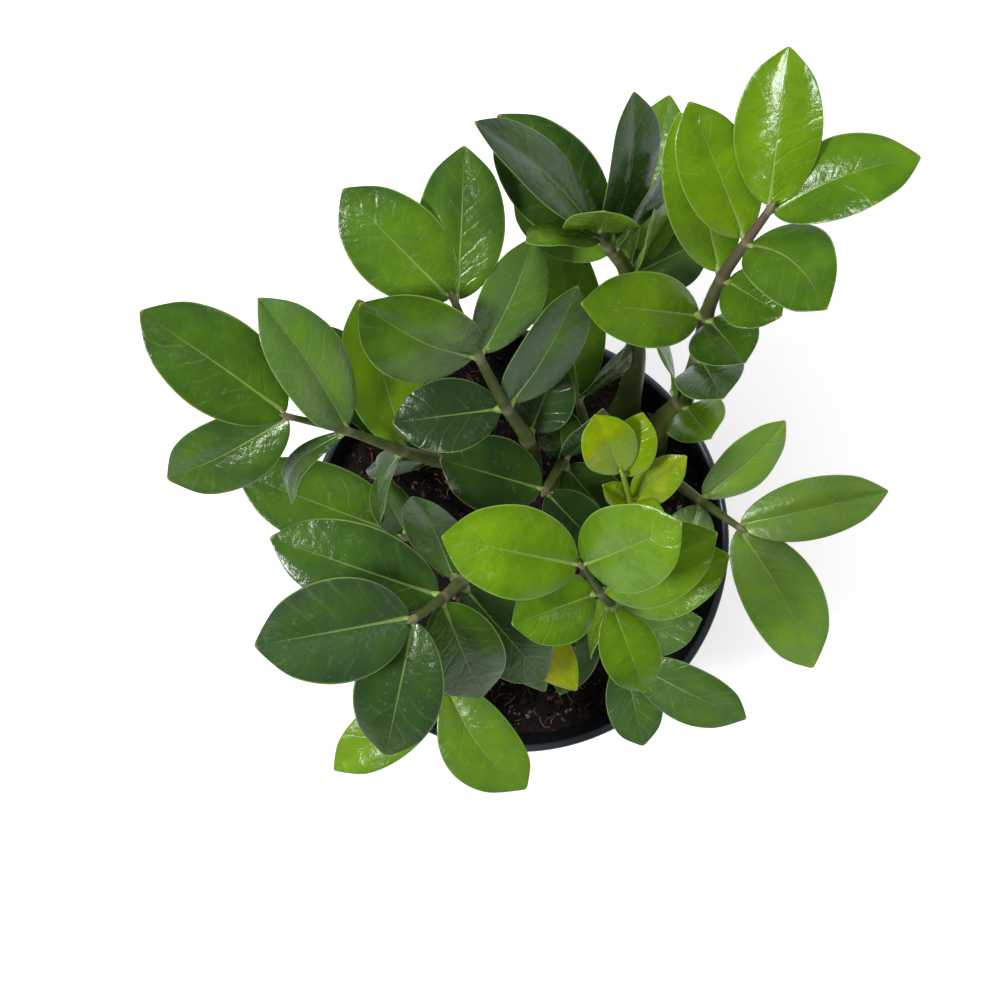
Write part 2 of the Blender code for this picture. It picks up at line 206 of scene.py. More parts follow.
FRONDS = [
    frond(
        "west", 4.5, 1.1, 0.6, 0.05,
        [(-14, 24, 0), (-19, 28, 50), (-32, 32, 90), (-44, 35, 115), (-64, 42, 141), (-85, 47, 159)],
        [
            leaflet(5, (-136, 84, 181), 36, roll=8, age=0.72),
            leaflet(4.9, (-130, 24, 137), 30, roll=-24, age=0.74, bloom=0.1),
            leaflet(4, (-94, 89, 176), 30, roll=24, fold=18, age=0.6, bloom=0.4),
            leaflet(4, (-86, 15, 107), 9, roll=10, arch=0.16, fold=-30, sway=-0.12, age=0.74),
            leaflet(3, (-60, 91, 130), 30, roll=15, age=0.38),
        ],
        [
            leaflet(3, (-52, 9, 85), 22, roll=70, arch=0.1, age=0.8),
            leaflet(2, (-59, 28, 75), 18, roll=50, age=0.95),
            leaflet(2, (-83, 84, 97), 26, age=0.8),
        ],
    ),
    frond(
        "northwest", 4.5, 1.3, 0.6, 0.08,
        [(2, 26, 0), (6, 30, 45), (3, 40, 100), (-5, 51, 130), (-15, 69, 157), (-24, 89, 173)],
        [
            leaflet(5, (-63, 127, 189), 34, roll=-8, fold=-5, age=0.62),
            leaflet(4.9, (-20, 143, 183), 32, roll=4, age=0.68),
            leaflet(4, (-57, 86, 192), 37, roll=-30, arch=0.1, age=0.7, bloom=0.0),
            leaflet(4, (5, 111, 174), 26, roll=30, age=0.64, bloom=0.4),
            # Painted shade: an age past the oldest green darkens this low leaflet, which lies in the
            # shade of those above.
            leaflet(3, (-47, 45, 135), 28, age=1.1),
            leaflet(3, (21, 94, 163), 27, roll=38, age=0.88, bloom=0.3),
        ],
        [
            # Painted shade: the oldest green darkens this low leaflet, which lies in the shade of those
            # above.
            leaflet(2, (15, 69, 117), 24, age=1.0),
        ],
    ),
    frond(
        "north", 6.5, 1.5, 0.85, 0.15,
        [(42, 49, 0), (44, 57, 25), (45, 74, 80), (40, 99, 135), (32, 109, 157), (28, 114, 168)],
        [
            leaflet(5, (-16, 149, 207), 28, roll=45),
            leaflet(4.1, (-8, 155, 174), 34, age=0.88, bloom=0),
            leaflet(5, (29, 117, 212), 28, age=0.48, bloom=0.0, arch=0.0),
            leaflet(4, (40, 160, 203), 28, roll=50),
        ],
        [
            leaflet(4.6, (2, 108, 192), 18, roll=50, age=0.5),
            leaflet(3.6, (-2, 131, 146), 28, age=0.4),
            leaflet(3.8, (52, 136, 183), 24, roll=78),
            leaflet(3, (50, 126, 165), 24, roll=78, age=0.4),
            leaflet(3, (55, 165, 147), 30, age=0.5),
            leaflet(3, (69, 113, 137), 26),
        ],
    ),
    frond(
        "inner", 4.0, 1.5, 0.8, 0.1,
        [(30, 36, 0), (27, 44, 40), (23, 55, 75)],
        [
            leaflet(2, (14, 121, 107), 28, age=0.6),
        ],
        [
            leaflet(2, (42, 76, 95), 20, roll=70),
        ],
    ),
    frond(
        # Painted shade: ages near and past the oldest green darken these low leaflets, which lie in the
        # shade of the fronds above.
        "centre", 4.0, 1.5, 0.9, 0.0,
        [(16, 18, 0), (18, 24, 35), (17, 31, 72), (10, 20, 90)],
        [
            leaflet(3, (-30, 32, 101), 30),
        ],
        [
            leaflet(3, (31, -2, 77), 22, age=1.1),
            leaflet(2, (37, 8, 58), 24),
            leaflet(2, (32, 51, 100), 18, roll=50),
            leaflet(2, (15, 52, 92), 18),
        ],
    ),
    frond(
        "northeast", 5.5, 1.4, 0.4, 0.0,
        [
            (54, 38, 0), (56, 46, 30), (64, 56, 65), (68, 72, 107),
            (69, 85, 139), (73, 97, 171), (80, 108, 200), (87, 118, 215),
        ],
        [
            leaflet(7, (92, 172, 235), 31, roll=-6, fold=-8, age=0.38),
            leaflet(6.9, (138, 135, 227), 29, roll=-12, sway=0.04, age=0.56),
            leaflet(6, (105, 82, 233), 31, sway=0.1, age=0.66),
            leaflet(6, (58, 154, 227), 28, age=0.42),
            leaflet(5, (56, 153, 201), 27, age=0.42),
            leaflet(5, (93, 82, 187), 26, age=0.66),
            leaflet(4, (81, 66, 170), 28, age=0.76),
            leaflet(4, (22, 87, 173), 28, age=0.46),
            leaflet(3, (75, 54, 139), 27, age=0.8),
        ],
        [
            leaflet(2, (73, 40, 93), 25, age=0.55),
            leaflet(2, (51, 79, 97), 20, roll=75, age=0.6),
        ],
        brown=1.0,
    ),
    frond(
        "east", 4.5, 1.3, 0.5, 0.5,
        [(42, 24, 0), (50, 26, 30), (60, 24, 50), (71, 16, 66), (85, 6, 75)],
        [
            leaflet(4, (142, 20, 81), 24, age=0.36),
            leaflet(4, (115, -49, 59), 31, sway=0.04, age=0.44),
            leaflet(3, (103, 47, 75), 22, roll=30, age=0.34, bloom=0.6),
        ],
        [
            leaflet(3, (58, -19, 51), 24, age=0.7),
        ],
    ),
    frond(
        "young", 2.4, 0.9, 0.14, 0.0,
        [(44, 10, 0), (44, 13, 45), (43, 16, 81), (39, 26, 111)],
        [
            leaflet(3, (28, 48, 130), 22, roll=0, age=0.15),
            leaflet(2.8, (46, 49, 121), 18, roll=0, age=0.15),
        ],
        [
            leaflet(2, (63, 33, 107), 16),
            leaflet(2, (32, 22, 97), 10),
            leaflet(2, (55, 5, 101), 13),
        ],
    ),
    frond(
        "south", 5.0, 1.1, 0.28, 0.0,
        [(42, -22, 0), (44, -22, 50), (40, -22, 105), (33, -20, 163), (28, -16, 191), (21, -6, 221)],
        [
            leaflet(5, (-27, 4, 245), 33, age=0.42),
            leaflet(5, (54, 9, 257), 33, age=0.44, roll=10),
            leaflet(4, (68, 5, 223), 29, age=0.47),
            leaflet(3, (74, -3, 193), 28, age=0.45),
            leaflet(4, (-3, -27, 207), 27, age=0.56),
            leaflet(3, (46, -54, 147), 22, age=0.5),
        ],
        [
            leaflet(3, (26, -40, 133), 18, roll=70, age=0.5),
        ],
    ),
    frond(
        "southwest", 5.0, 1.5, 0.85, 0.12,
        [(2, 2, 0), (-2, 1, 45), (-14, -7, 120), (-22, -14, 147), (-28, -19, 163), (-38, -26, 176)],
        [
            leaflet(5, (-94, -35, 197), 38, age=0.9, bloom=0.2),
            leaflet(5, (-49, -77, 151), 33, age=0.86),
            leaflet(4, (-90, 3, 173), 32, age=0.82, bloom=0.05),
            leaflet(4, (-14, -57, 127), 30, age=0.7, bloom=0.0),
            leaflet(2.9, (10, -51, 117), 28, age=0.86, bloom=0.2),
        ],
        [
            leaflet(3, (-40, 18, 121), 22, roll=30, age=0.8),
            leaflet(2, (22, -56, 97), 20, age=0.0),
            leaflet(2, (10, -57, 85), 20, age=0.6),
        ],
    ),
    frond(
        "south_low", 3.5, 1.5, 0.45, 0.15,
        [(-12, -18, 0), (-15, -28, 40), (-22, -42, 65), (-28, -56, 75)],
        [
            leaflet(3, (3, -96, 63), 30, sway=-0.08),
        ],
        [
            leaflet(3, (-72, -89, 59), 24, age=0.34),
        ],
    ),
    frond(
        "west_low", 3.5, 1.5, 0.65, 0.1,
        [(-18, 2, 0), (-25, 2, 30), (-44, 2, 59)],
        [
            leaflet(2, (-109, 27, 71), 33, bloom=0.1, age=0.7),
        ],
        [
            leaflet(2, (-55, 25, 81), 16, age=0.8),
        ],
    ),
    frond(
        "southeast", 3.5, 1.5, 0.68, 0.3,
        [(22, -22, 0), (28, -30, 35), (43, -46, 69)],
        [
            leaflet(2, (89, -69, 58), 24, roll=20),
        ],
        [
            leaflet(1.8, (49, -80, 51), 22, age=0.74),
            leaflet(1.5, (70, -29, 84), 22, roll=10),
            leaflet(1, (10, -32, 65), 20, age=0.95),
            leaflet(1, (16, -59, 66), 20, age=0.8),
        ],
    ),
]


class PotSettings(bpy.types.PropertyGroup):
    """Sizes and colour of the nursery pot."""

    wall: FloatProperty(
        name="Wall", description="Thickness of the moulded wall", default=0.0016, unit="LENGTH"
    )
    lip: FloatProperty(
        name="Lip", description="Width of the rolled lip", default=0.003, unit="LENGTH"
    )
    band: FloatProperty(
        name="Band", description="Height of the band under the lip", default=0.016, unit="LENGTH"
    )
    segments: IntProperty(name="Segments", description="Steps round the pot", default=160)
    plastic: FloatVectorProperty(
        name="Plastic", description="Colour of the plastic", default=(0.007, 0.009, 0.012),
        subtype="COLOR", size=3,
    )


class SoilSettings(bpy.types.PropertyGroup):
    """How rough the soil is and what is scattered on it."""

    lumps: FloatProperty(
        name="Lumps", description="Height of the largest lumps", default=0.0032, unit="LENGTH"
    )
    cells: IntProperty(name="Cells", description="Cells across the soil's top", default=170)
    crumbs: IntProperty(name="Crumbs", description="Loose crumbs of peat", default=2600)
    chips: IntProperty(name="Chips", description="Bark chips", default=190)
    fibres: IntProperty(name="Fibres", description="Strands of coir", default=480)
    peat: FloatVectorProperty(
        name="Peat", description="Colour of damp peat", default=(0.0045, 0.0035, 0.0034),
        subtype="COLOR", size=3,
    )
    coir: FloatVectorProperty(
        name="Coir", description="Colour of the fibres", default=(0.13, 0.058, 0.03),
        subtype="COLOR", size=3,
    )


class PlantSettings(bpy.types.PropertyGroup):
    """How finely stems and leaflets are made, and their main colours."""

    length_cells: IntProperty(
        name="Length cells", description="Cells along a leaflet", default=30
    )
    width_cells: IntProperty(
        name="Width cells", description="Cells across a leaflet", default=14
    )
    blade: FloatProperty(
        name="Blade", description="Thickness at the midrib's foot", default=0.0015, unit="LENGTH"
    )
    stem_sides: IntProperty(name="Stem sides", description="Sides of a stem", default=20)
    old_green: FloatVectorProperty(
        name="Old green", description="Colour of the oldest leaflets",
        default=(0.015, 0.039, 0.009), subtype="COLOR", size=3,
    )
    new_green: FloatVectorProperty(
        name="New green", description="Colour of new growth",
        default=(0.16, 0.25, 0.001), subtype="COLOR", size=3,
    )


class StageSettings(bpy.types.PropertyGroup):
    """The studio: its floor, its lights and the height of the camera."""

    camera_height: FloatProperty(
        name="Camera height", description="Height over the floor", default=1.63, unit="LENGTH"
    )
    view_width: FloatProperty(
        name="View width", description="Width seen at the rim", default=0.402, unit="LENGTH"
    )
    floor: FloatVectorProperty(
        name="Floor", description="Colour of the floor", default=(0.9, 0.9, 0.9),
        subtype="COLOR", size=3,
    )


class Value:
    """A number that varies over a surface. Maths on it adds Math nodes."""

    def __init__(self, tree, socket):
        self.tree = tree
        self.socket = socket

    def math(self, operation, *others, clamp=False):
        node = self.tree.nodes.new("ShaderNodeMath")
        node.operation = operation
        node.use_clamp = clamp
        for socket, value in zip(node.inputs, (self, *others)):
            feed(self.tree, socket, value)
        return Value(self.tree, node.outputs[0])

    def __add__(self, other):
        return self.math("ADD", other)

    __radd__ = __add__

    def __sub__(self, other):
        return self.math("SUBTRACT", other)

    def __rsub__(self, other):
        return (self * -1) + other

    def __mul__(self, other):
        return self.math("MULTIPLY", other)

    __rmul__ = __mul__

    def __truediv__(self, other):
        return self.math("DIVIDE", other)

    def __pow__(self, other):
        return self.math("POWER", other)

    def __abs__(self):
        return self.math("ABSOLUTE")

    def fraction(self):
        return self.math("FRACT")

    def clamp(self):
        return self.math("ADD", 0.0, clamp=True)

    def rise(self, low, high):
        """0 below low and 1 above high, with a smooth step between, or falling if low is above high."""
        part = ((self - low) / (high - low)).clamp()
        return part * part * (3 - 2 * part)


def feed(tree, socket, value):
    """Links a value to a socket, or sets the socket to a constant."""
    if isinstance(value, Value):
        tree.links.new(value.socket, socket)
    else:
        socket.default_value = value


class Finish:
    """A material being made: its node tree and the few ways that nodes are added to it."""

    def __init__(self, name, **constants):
        self.material = bpy.data.materials.new(name)
        self.material.use_nodes = True
        self.tree = self.material.node_tree
        self.shader = self.tree.nodes["Principled BSDF"]
        for socket, value in constants.items():
            self.shader.inputs[socket.replace("_", " ")].default_value = value

    def node(self, kind, settings=None, sockets=None, output=0):
        """Adds a node: its settings first, then its sockets' values or links."""
        node = self.tree.nodes.new(kind)
        for name, value in (settings or {}).items():
            if name == "stops":
                set_stops(node.color_ramp, value)
            else:
                setattr(node, name, value)
        for name, value in (sockets or {}).items():
            feed(self.tree, node.inputs[name], value)
        return Value(self.tree, node.outputs[output])

    def place(self, scale=(1, 1, 1)):
        """Object coordinates, stretched by a scale."""
        where = self.node("ShaderNodeTexCoord", output="Object")
        return self.node("ShaderNodeMapping", None, {"Vector": where, "Scale": scale})

    def noise(self, scale, detail=3.0, roughness=0.55, stretch=(1, 1, 1)):
        """Soft noise from 0 to 1, finer with scale, and closer along an axis with a larger stretch."""
        sockets = {
            "Vector": self.place(stretch),
            "Scale": scale,
            "Detail": detail,
            "Roughness": roughness,
        }
        return self.node("ShaderNodeTexNoise", None, sockets, "Fac")

    def spots(self, scale, stretch):
        """Distance to the nearest of many scattered points."""
        return self.node(
            "ShaderNodeTexVoronoi", None, {"Vector": self.place(stretch), "Scale": scale}, "Distance"
        )

    def along_across(self):
        """The piece's own map: the share of its length, and from -1 to 1 across it."""
        uv = self.node("ShaderNodeTexCoord", output="UV")
        parts = self.node("ShaderNodeSeparateXYZ", None, {"Vector": uv})
        across = Value(self.tree, parts.socket.node.outputs["Y"])
        return parts, across * 2 - 1

    def own(self, attribute):
        """A number that the piece stores at each of its vertices."""
        return self.node("ShaderNodeAttribute", {"attribute_name": attribute}, None, "Fac")

    def ramp(self, value, stops):
        """A colour that runs through its stops as a value goes from 0 to 1."""
        return self.node("ShaderNodeValToRGB", {"stops": stops}, {"Fac": value}, "Color")

    def mix(self, share, one, other):
        """A colour between two colours, each a socket or three numbers."""
        node = self.tree.nodes.new("ShaderNodeMix")
        node.data_type = "RGBA"
        feed(self.tree, node.inputs[0], share)
        for socket, colour in ((node.inputs[6], one), (node.inputs[7], other)):
            feed(self.tree, socket, colour if isinstance(colour, Value) else (*colour, 1))
        return Value(self.tree, node.outputs[2])

    def surface(self, colour, roughness, height=None, distance=0.0004, strength=0.5):
        """Sets colour and roughness, and lets a height raise bumps."""
        feed(self.tree, self.shader.inputs["Base Color"], colour)
        feed(self.tree, self.shader.inputs["Roughness"], roughness)
        if height is not None:
            bump = self.node(
                "ShaderNodeBump", None,
                {"Height": height, "Distance": distance, "Strength": strength},
            )
            feed(self.tree, self.shader.inputs["Normal"], bump)
        return self.material


def set_stops(ramp, stops):
    """Gives a ramp its positions and colours."""
    while len(ramp.elements) < len(stops):
        ramp.elements.new(0.5)
    for element, (position, colour) in zip(ramp.elements, stops):
        element.position = position
        element.color = (*colour, 1)


def leaf_greens(plant):
    """The colours of a blade with age: yellowing first, then new growth, then ever darker green."""
    return [
        (0.0, (0.32, 0.36, 0.004)),
        (0.13, tuple(plant.new_green)),
        (0.28, (0.14, 0.265, 0.006)),
        (0.42, (0.1, 0.205, 0.006)),
        (0.6, (0.062, 0.14, 0.006)),
        (0.8, (0.03, 0.075, 0.007)),
        (1.0, tuple(plant.old_green)),
    ]


def vein_height(finish, along, across):
    """Fine side veins that curve from the midrib towards the tip: 1 on a vein."""
    out = abs(across)
    waver = finish.noise(60, 2) * 1.1
    phase = ((along - out * VEIN_SLANT + out * out * VEIN_CURVE) * VEINS + waver).fraction()
    return 1 - (abs(phase - 0.5) * 2).rise(0.0, 0.28)


def leaf_upper(plant):
    """The glossy upper face: pale midrib and margin, faint veins partly painted as glints, mottled
    green, faint pale specks and a painted grey sheen on some leaflets.
    """
    finish = Finish("leaf_upper", IOR=1.45, Coat_Weight=0.12, Coat_Roughness=0.1)
    along, across = finish.along_across()
    out = abs(across)
    mottle = finish.noise(85, 4, 0.6)
    broad = finish.noise(26, 2)
    rim = out.rise(0.55, 1.0) * 0.08
    age = finish.own("age") + (broad - 0.5) * 0.5 + (mottle - 0.5) * 0.34 + rim
    green = finish.ramp(age, leaf_greens(plant))
    vein = vein_height(finish, along, across)
    faint = finish.noise(40, 2).rise(0.4, 0.7)
    # Paler green along the side veins, in patches: partly the veins' own paler green, partly painted
    # glints along them.
    green = finish.mix(vein * faint * 0.08, green, (0.22, 0.36, 0.08))
    rest = 1 - along
    rib_width = 0.015 + 0.025 * rest + 0.25 * rest**12
    midrib = 1 - (out / rib_width).rise(0.35, 1.0)
    rib_share = midrib * (1 - along * 0.75) * 0.6
    green = finish.mix(rib_share.clamp(), green, (0.27, 0.38, 0.09))
    margin = out.rise(0.945, 0.985)
    green = finish.mix(margin * 0.35, green, (0.3, 0.44, 0.06))
    tip = along.rise(0.975, 0.998)
    green = finish.mix(tip * 0.6, green, (0.3, 0.2, 0.06))
    # Faint pale bluish specks in patches, a little rougher than the rest of the face.
    specks = finish.noise(380, 2).rise(0.6, 0.7)
    patches = finish.noise(45, 2).rise(0.46, 0.62)
    pale_specks = specks * patches
    green = finish.mix(pale_specks * 0.07, green, (0.3, 0.5, 0.36))
    # Painted sheen: a pale grey-green laid over leaflets that tilt towards the pale walls, standing in
    # for their reflection; the same leaflets are a little rougher.
    bloom = finish.own("bloom")
    green = finish.mix((bloom * (mottle * 0.5 - 0.05)).clamp(), green, (0.24, 0.36, 0.25))
    roughness = 0.12 + mottle * 0.16 + pale_specks * 0.2 + bloom * 0.15
    grain = finish.noise(480, 4, 0.65)
    quilt = finish.noise(110, 2)
    height = quilt * 0.9 + grain * 0.3 - vein * faint * 0.16 - midrib * 0.3
    return finish.surface(green, roughness, height, 0.0016, 0.6)


def leaf_under(plant):
    """The paler, duller under face with its raised midrib."""
    finish = Finish("leaf_under", IOR=1.45, Coat_Weight=0.05)
    along, across = finish.along_across()
    out = abs(across)
    mottle = finish.noise(80, 3)
    age = finish.own("age") + (mottle - 0.5) * 0.12
    green = finish.ramp(age, leaf_greens(plant))
    green = finish.mix(0.35, green, (0.09, 0.17, 0.03))
    vein = vein_height(finish, along, across)
    green = finish.mix(vein * 0.2, green, (0.09, 0.17, 0.05))
    midrib = 1 - out.rise(0.03, 0.09)
    green = finish.mix(midrib * 0.6, green, (0.25, 0.34, 0.12))
    return finish.surface(green, 0.36 + mottle * 0.2, vein * 0.4 + mottle * 0.3, 0.0003, 0.5)


def leaf_margin(plant):
    """The thin, pale, horny edge of a blade."""
    finish = Finish("leaf_margin", IOR=1.45)
    mottle = finish.noise(160, 2)
    green = finish.ramp(finish.own("age"), leaf_greens(plant))
    pale = finish.mix(0.2 + mottle * 0.4, green, (0.33, 0.44, 0.12))
    return finish.surface(pale, 0.35 + mottle * 0.15)


def stem_skin(plant):
    """Olive skin with grey-brown flecks that run lengthwise, browner at its rings and its end."""
    finish = Finish("stem_skin", IOR=1.45, Specular_IOR_Level=0.35)
    share = finish.own("share")
    ring = finish.own("ring")
    stalk = finish.own("stalk")
    new = 1 - finish.own("age").rise(0.12, 0.3)
    flecks = finish.noise(260, 4, 0.65, (1, 1, 0.22))
    streaks = finish.noise(120, 3, 0.6, (1, 1, 0.12))
    olive = finish.mix(streaks.rise(0.35, 0.7), (0.034, 0.055, 0.006), (0.075, 0.105, 0.014))
    brown = finish.mix(share.rise(0.3, 1.0) * finish.own("brown"), olive, (0.1, 0.07, 0.05))
    mottled = finish.mix(flecks.rise(0.54, 0.64) * 0.35, brown, (0.12, 0.13, 0.045))
    dark = finish.spots(330, (1, 1, 0.3)).rise(0.16, 0.05)
    mottled = finish.mix(dark * 0.5, mottled, (0.035, 0.035, 0.016))
    ringed = finish.mix(ring * 0.6, mottled, (0.2, 0.17, 0.11))
    fresh = finish.mix(new, ringed, (0.22, 0.33, 0.02))
    green = finish.mix(stalk * 0.85, fresh, (0.2, 0.29, 0.07))
    height = flecks * 0.5 + streaks * 0.8 + ring * 0.4
    return finish.surface(green, 0.34 + flecks * 0.25, height, 0.0004, 0.6)


def peat_earth(soil):
    """Damp black peat with finer brown grit in it."""
    finish = Finish("peat_earth", Specular_IOR_Level=0.2)
    clods = finish.noise(180, 6, 0.7)
    fine = finish.noise(900, 4, 0.7)
    damp = finish.noise(45, 2)
    brown = finish.mix(clods.rise(0.4, 0.7), tuple(soil.peat), (0.012, 0.008, 0.0075))
    brown = finish.mix(fine.rise(0.58, 0.68) * 0.6, brown, (0.06, 0.038, 0.028))
    return finish.surface(brown, 0.6 + damp * 0.35, clods + fine * 0.5, 0.0012, 0.9)


def grainy_brown(name, tones):
    """Fibrous brown matter: each piece has a tone of its own, and a grain runs through it."""
    finish = Finish(name, Specular_IOR_Level=0.3)
    grain = finish.noise(300, 5, 0.7, (1, 0.25, 1))
    piece = finish.own("tone")
    brown = finish.ramp(piece + (grain - 0.5) * 0.4, tones)
    return finish.surface(brown, 0.65 + grain * 0.3, grain, 0.0006, 0.8)


def coir_red(soil):
    """Reddish-brown coconut fibre: each strand has a tone of its own."""
    finish = Finish("coir_red", Specular_IOR_Level=0.3)
    grain = finish.noise(700, 3)
    piece = finish.own("tone")
    dark = tuple(channel * 0.3 for channel in soil.coir)
    brown = finish.ramp(
        piece + (grain - 0.5) * 0.3,
        [(0.0, dark), (0.6, tuple(soil.coir)), (1.0, (0.3, 0.17, 0.1))],
    )
    return finish.surface(brown, 0.6 + grain * 0.25, grain, 0.0002, 0.6)


def pot_plastic(pot):
    """Black moulded plastic: fine grain, faint flow lines, scuffs, a little dried soil and a painted
    blue-grey highlight along the top of the lip.
    """
    finish = Finish("pot_plastic", IOR=1.5)
    grain = finish.noise(1400, 2)
    flow = finish.noise(60, 3, 0.5, (1, 1, 0.15))
    scuffs = finish.noise(240, 5, 0.75, (0.25, 0.25, 1)).rise(0.6, 0.74)
    smudges = finish.noise(28, 3).rise(0.5, 0.75)
    black = finish.mix(flow * 0.5, tuple(pot.plastic), (0.012, 0.015, 0.02))
    black = finish.mix(scuffs * 0.25, black, (0.09, 0.095, 0.1))
    black = finish.mix(smudges * 0.12, black, (0.08, 0.06, 0.045))
    place = finish.node("ShaderNodeSeparateXYZ", None, {"Vector": finish.place()}, "Z")
    # Painted highlight: blue-grey laid over the top of the lip, standing in for its reflection of the
    # pale walls.
    painted_lip_highlight = place.rise(POT_HEIGHT - pot.lip * 1.2, POT_HEIGHT - pot.lip * 0.3)
    black = finish.mix(painted_lip_highlight * (0.35 + smudges * 0.3), black, (0.075, 0.095, 0.115))
    roughness = 0.24 + grain * 0.1 + scuffs * 0.2 + smudges * 0.15
    return finish.surface(black, roughness, grain * 0.3 + flow * 0.6, 0.0003, 0.35)


def piece_from(bm, name, materials, replaces=()):
    """Makes a finished piece from a bmesh: smooth, facing out, and riding on the root body."""
    mesh = bpy.data.meshes.new(name)
    bm.to_mesh(mesh)
    bm.free()
    mesh.shade_smooth()
    for material in materials:
        mesh.materials.append(material)
    piece = bpy.data.objects.new(name, mesh)
    bpy.context.scene.collection.objects.link(piece)
    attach(piece, "root")
    if replaces:
        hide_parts(*replaces)
    return piece


def number_layer(mesh, name, values):
    """Stores one number a vertex on a mesh, for its material to read."""
    layer = mesh.attributes.new(name, "FLOAT", "POINT")
    layer.data.foreach_set("value", values)


def above_soil(point):
    """A table point, measured from the soil, as a place in metres."""
    return Vector(point) * UNIT + Vector((0, 0, SOIL_LEVEL + GAP))


def smooth_point(points, place):
    """The point at a place along the smooth curve through all the points, one unit a span."""
    span = min(int(place), len(points) - 2)
    part = place - span
    before = points[max(span - 1, 0)]
    start, end = points[span], points[span + 1]
    after = points[min(span + 2, len(points) - 1)]
    leaving = (end - before) / 2
    arriving = (after - start) / 2
    return (
        start * (1 + 2 * part) * (1 - part) ** 2
        + leaving * part * (1 - part) ** 2
        + end * part**2 * (3 - 2 * part)
        + arriving * part**2 * (part - 1)
    )


def tangent_at(points, place):
    """The direction of the smooth curve at a place along it."""
    last = len(points) - 1
    ahead = smooth_point(points, min(place + TANGENT_STEP, last))
    behind = smooth_point(points, max(place - TANGENT_STEP, 0))
    return (ahead - behind).normalized()


def stem_radius(spec, place):
    """Radius along a stem: it tapers to its end and swells where it leaves the soil."""
    share = place / (len(spec["path"]) - 1)
    taper = spec["foot_radius"] + (spec["end_radius"] - spec["foot_radius"]) * share**STEM_TAPER
    swelling = (SWELLING - 1) * math.exp(-((share / SWELLING_LENGTH) ** 2))
    return taper * (1 + swelling) * UNIT


def leaf_frame(spec, leaf):
    """A leaflet's base, its unit length, side and upper directions, and its length."""
    points = [above_soil(point) for point in spec["path"]]
    node = smooth_point(points, leaf["station"])
    tip = above_soil(leaf["tip"])
    tangent = tangent_at(points, leaf["station"])
    out = (tip - node) - tangent * (tip - node).dot(tangent)
    base = node + out.normalized() * stem_radius(spec, leaf["station"])
    length = (tip - base).length
    along = (tip - base) / length
    side = Vector((0, 0, 1)).cross(along).normalized()
    side = Matrix.Rotation(math.radians(leaf["roll"]), 3, along) @ side
    return base, along, side, along.cross(side), length


def eased(value, low, high):
    """0 up to low and 1 from high, with a smooth step between."""
    part = min(max((value - low) / (high - low), 0.0), 1.0)
    return part * part * (3 - 2 * part)


def half_width(share, width):
    """Half the blade's width at a share of its length: widest past the middle, pointed at the end."""
    point = LEAF_POINT * eased(share, LEAF_POINT_START, 1.0)
    body = math.sin(math.pi * share**LEAF_WIDEST) ** (LEAF_FULLNESS + point)
    ends = LEAF_BASE_WIDTH * (1 - share) + LEAF_TIP_WIDTH * share
    return max(body * width, ends) / 2


def blade_lift(leaf, length, share, across, half, seed):
    """How far a point of the blade stands off the straight line from base to tip."""
    out = abs(across)
    bow = leaf["arch"] * length * math.sin(math.pi * share)
    rise = math.tan(math.radians(leaf["fold"])) * out * half * (2.0 - 1.5 * out)
    groove = -GROOVE_DEPTH * math.exp(-((out * half / GROOVE_WIDTH) ** 2)) * (1 - share)
    phase = (share - out * VEIN_SLANT + out * out * VEIN_CURVE) * VEINS
    pleat = PLEAT * math.cos(math.tau * phase) * math.sin(math.pi * min(1, out * 1.15))
    billow = BILLOW * noise.noise(Vector((share * 2.4, across * 1.3, seed * 7.3)))
    half_turn = 2 if across > 0 else 0
    wave = MARGIN_WAVE * out**3 * math.sin(share * 9 + seed * 5 + half_turn)
    ends = math.sin(math.pi * share) ** 0.5
    past = max(0, share - DROOP_START) / (1 - DROOP_START)
    droop = TIP_DROOP * length * past * (1 - past)
    return bow + rise + groove + (pleat + billow + wave) * ends - droop


def make_blade(name, spec, leaf, seed, plant, materials, replaces=()):
    """A leaflet: a grid bent to shape, then given its thickness and a pale edge."""
    base, along, side, upper, length = leaf_frame(spec, leaf)
    bm = bmesh.new()
    uv = bm.loops.layers.uv.new("blade")
    bmesh.ops.create_grid(
        bm, x_segments=plant.length_cells, y_segments=plant.width_cells, size=0.5
    )
    bm.verts.index_update()
    shares, acrosses = [], []
    for vert in bm.verts:
        even = min(max(vert.co.x + 0.5, 0.0), 1.0)
        crowded = (1 - math.cos(math.pi * even)) / 2
        share = crowded * END_CROWDING + even * (1 - END_CROWDING)
        across = 2 * vert.co.y
        half = half_width(share, leaf["width"] * UNIT)
        shift = leaf["sway"] * length * math.sin(math.pi * share) + across * half
        lift = blade_lift(leaf, length, share, across, half, seed)
        vert.co = base + along * share * length + side * shift + upper * lift
        shares.append(share)
        acrosses.append(across)
    for face in bm.faces:
        for loop in face.loops:
            index = loop.vert.index
            loop[uv].uv = (shares[index], (acrosses[index] + 1) / 2)
    age, bloom = (spec[own] if leaf[own] is None else leaf[own] for own in ("age", "bloom"))
    piece = piece_from(bm, name, materials, replaces)
    number_layer(piece.data, "age", [age] * len(shares))
    number_layer(piece.data, "bloom", [bloom] * len(shares))
    thicken(piece, shares, acrosses, plant.blade)
    return piece


